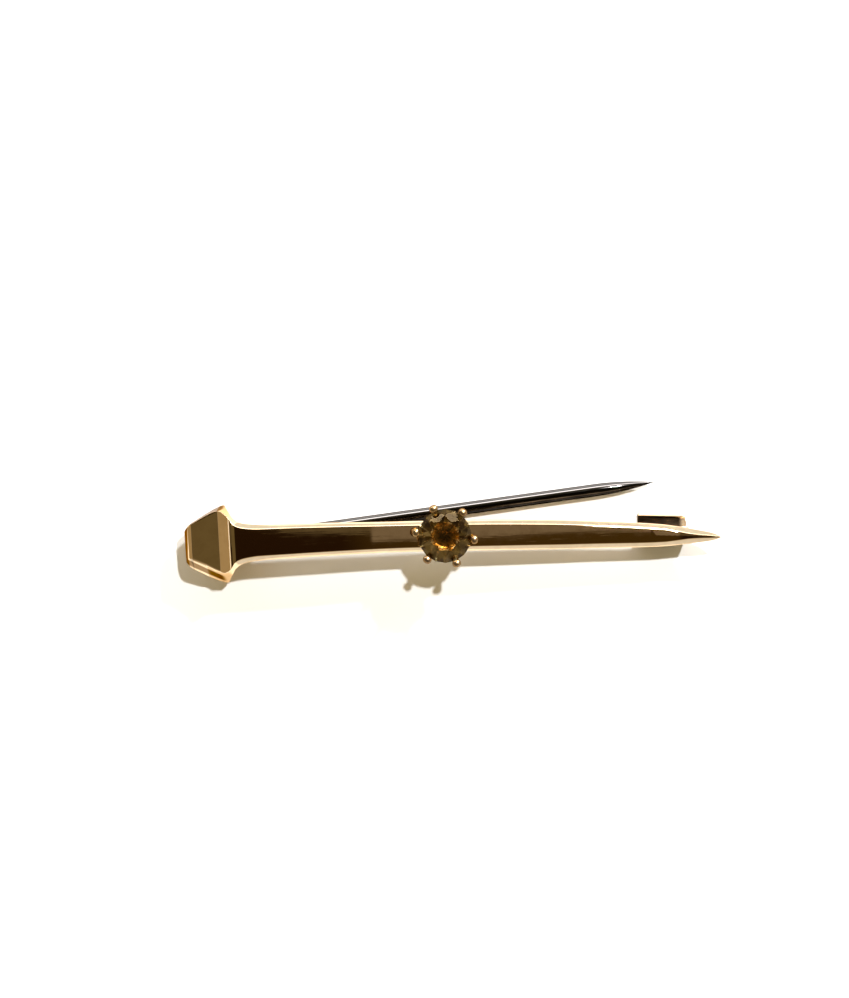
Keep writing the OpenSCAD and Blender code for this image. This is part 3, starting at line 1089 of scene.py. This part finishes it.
def catch_gold():
    """The catch's gold with painted shade: dark and dull where it lies under the nail, with plain gold on
    its lip and on its end towards the point.
    """
    material, nodes = new_material("catch gold")
    if nodes is None:
        return material
    look = bpy.context.scene.brooch_finish
    wear = nodes.wear(250.0, 5000.0, 0.05)
    x, y, z = nodes.split(nodes.place())
    # Painted shade: the catch's gold is darkened to between a tenth and three tenths of the dark gold
    base = nodes.mix(wear["Smudges"], colour(look.brown_tarnish_and_painted_shade, 0.1), colour(look.brown_tarnish_and_painted_shade, 0.3))
    lip = nodes.product(nodes.step_mm(z, LIP_ABOVE), nodes.step_mm(y, LIP_BEYOND))
    base = nodes.mix(lip, base, colour(look.gold))
    base = nodes.mix(nodes.step_mm(x, CATCH_END), base, colour(look.gold))
    rough = nodes.maths("MULTIPLY_ADD", lip, 0.3, 0.22)
    nodes.metal(base, rough, wear["Normal"])
    return material


def steel():
    """Darkened steel wire with drawing lines along it, and painted shade: much darker on its side towards
    the nail, lighter on the side away from it.
    """
    material, nodes = new_material("steel")
    if nodes is None:
        return material
    look = bpy.context.scene.brooch_finish
    wear = nodes.wear(120.0, 9000.0, 0.015)
    # Painted shade: dark steel on the side towards the nail, lighter steel on the side away from it
    facing = nodes.split(nodes.place("Normal"))[1]
    painted_dark_side = nodes.mix(wear["Smudges"], colour(look.painted_dark_side), colour(look.painted_dark_side, 0.5))
    base = nodes.mix(nodes.step(facing, 0.05, 0.35), painted_dark_side, colour(look.steel))
    rough = nodes.maths("MULTIPLY_ADD", wear["Smudges"], 0.04, 0.06)
    nodes.metal(base, rough, wear["Normal"])
    return material


def gem():
    """A brownish yellow transparent stone, with painted light: darker in its middle and between the petals,
    standing in for the dark and bright facets of its cut.
    """
    material, nodes = new_material("gem")
    if nodes is None:
        return material
    look = bpy.context.scene.brooch_finish
    centre = nail_point(STONE_STATION, 0, 0)
    x, y, _ = nodes.split(nodes.place())
    right = nodes.maths("SUBTRACT", x, centre.x)
    up = nodes.maths("SUBTRACT", y, centre.y)
    turn = nodes.maths("MULTIPLY_ADD", nodes.maths("ARCTAN2", up, right), PETALS, PETAL_TURN)
    squares = nodes.maths("ADD", nodes.product(right, right), nodes.product(up, up))
    out = nodes.maths("SQRT", squares)
    # Painted facet light: petals by angle round the stone's centre, darker between them and in the middle
    painted_petal_light = nodes.step(nodes.maths("COSINE", turn), -0.9, 0.3)
    painted_petal_light = nodes.product(painted_petal_light, nodes.step_mm(out, PETALS_FROM))
    base = nodes.mix(painted_petal_light, colour(look.painted_dark_heart), colour(look.stone))
    gleam = colour(look.stone_gleam)
    nodes.surface(Base_Color=base, Roughness=0.0, IOR=1.54, Transmission_Weight=1.0, Specular_Tint=gleam)
    return material


def floor_paint():
    """Plain pale floor with a trace of unevenness."""
    material, nodes = new_material("floor")
    if nodes is None:
        return material
    look = bpy.context.scene.brooch_finish
    noise = nodes.add("ShaderNodeTexNoise", Vector=nodes.place(), Scale=300.0, Detail=3.0)
    shade = nodes.product(noise.outputs[0], 0.06)
    base = nodes.mix(shade, colour(look.floor), colour(look.floor, 0.8))
    nodes.surface(Base_Color=base, Roughness=0.9, Specular_IOR_Level=0.0)
    return material


def room():
    """The world: white to the camera, and to metal a pale room, dark overhead, with a window at +Y."""
    world = bpy.data.worlds.new("room")
    world.use_nodes = True
    nodes = Nodes(world.node_tree)
    x, y, z = nodes.split(nodes.place("Generated"))
    sky = nodes.ramp(z, SKY)
    north = nodes.product(nodes.step(y, 0.5, 0.9), nodes.step(z, 0.34, 0.24))
    sky = nodes.mix(north, sky, NORTH_WALL)
    sky = nodes.mix(nodes.step(x, -0.80, -0.90), sky, WEST_WALL)
    sky = zenith(nodes, x, y, z, sky)
    pane = nodes.product(nodes.step(z, 0.36, 0.39), nodes.step(z, 0.64, 0.61), nodes.step(y, 0.5, 0.65))
    sky = nodes.mix(pane, sky, WINDOW)
    path = nodes.add("ShaderNodeLightPath").outputs
    seen = nodes.mix(path["Is Diffuse Ray"], sky, AMBIENT)
    seen = nodes.mix(path["Is Camera Ray"], seen, WHITE)
    background = nodes.add("ShaderNodeBackground", Color=seen)
    nodes.add("ShaderNodeOutputWorld", Surface=background.outputs[0])
    return world


def zenith(nodes, x, y, z, sky):
    """The sky with what hangs overhead: a dark card, and beside it a paler one with a slanting edge.

    Where the steps lie is what the nail's flat face mirrors to the camera straight above it.
    """
    above = nodes.step(z, 0.93, 0.95)
    card = nodes.product(nodes.step(x, -0.250, -0.235), above)
    band = nodes.product(nodes.step(x, -0.56, -0.50), nodes.step(x, -0.305, -0.32))
    band = nodes.product(band, nodes.step(nodes.maths("ABSOLUTE", y), 0.12, 0.08))
    dark = nodes.mix(nodes.step(x, 0.02, 0.10), DARK_CARD, BROWN_CARD)
    seen = nodes.mix(nodes.maths("MAXIMUM", card, band), sky, dark)
    seen = nodes.mix(nodes.product(nodes.step(y, -0.0134, -0.0120), card), seen, CARD_RIM)
    edge = nodes.maths("MULTIPLY_ADD", nodes.step(x, 0.085, 0.105), -0.0008, -0.0163)
    upper = nodes.step(nodes.maths("SUBTRACT", y, edge), -0.0008, 0.0008)
    pale = nodes.product(nodes.step(x, 0.063, 0.067), upper, above)
    return nodes.mix(pale, seen, PALE_CARD)


class BROOCH_PT_panel(bpy.types.Panel):
    """The brooch's pieces, sizes and colours"""

    bl_idname = "BROOCH_PT_panel"
    bl_label = "Horseshoe Nail Brooch"
    bl_space_type = "VIEW_3D"
    bl_region_type = "UI"
    bl_category = "Brooch"

    def draw(self, context):
        for operator, group in STEPS:
            box = self.layout.box()
            box.operator("brooch." + operator)
            if group:
                settings = getattr(context.scene, "brooch_" + group)
                for name in type(settings).__annotations__:
                    box.prop(settings, name)


# Each operator in its order, with the group of settings that its box shows
STEPS = (
    ("stage", "stage"),
    ("nail", "nail"),
    ("setting", "setting"),
    ("hinge", "hinge"),
    ("catch", "catch"),
    ("pin", "pin"),
    ("stone", "finish"),
)
GROUPS = {
    "nail": NailSizes,
    "setting": SettingSizes,
    "hinge": HingeSizes,
    "pin": PinSizes,
    "catch": CatchSizes,
    "finish": FinishColours,
    "stage": StageSizes,
}
CLASSES = (
    *GROUPS.values(),
    BROOCH_OT_nail,
    BROOCH_OT_setting,
    BROOCH_OT_hinge,
    BROOCH_OT_catch,
    BROOCH_OT_pin,
    BROOCH_OT_stone,
    BROOCH_OT_stage,
    BROOCH_PT_panel,
)


def register():
    for cls in CLASSES:
        bpy.utils.register_class(cls)
    for name, group in GROUPS.items():
        setattr(bpy.types.Scene, "brooch_" + name, PointerProperty(type=group))


def unregister():
    for name in GROUPS:
        delattr(bpy.types.Scene, "brooch_" + name)
    for cls in reversed(CLASSES):
        bpy.utils.unregister_class(cls)


def main():
    """Models and finishes every piece."""
    register()
    for operator, _ in STEPS:
        getattr(bpy.ops.brooch, operator)()


if __name__ == "__main__":
    main()
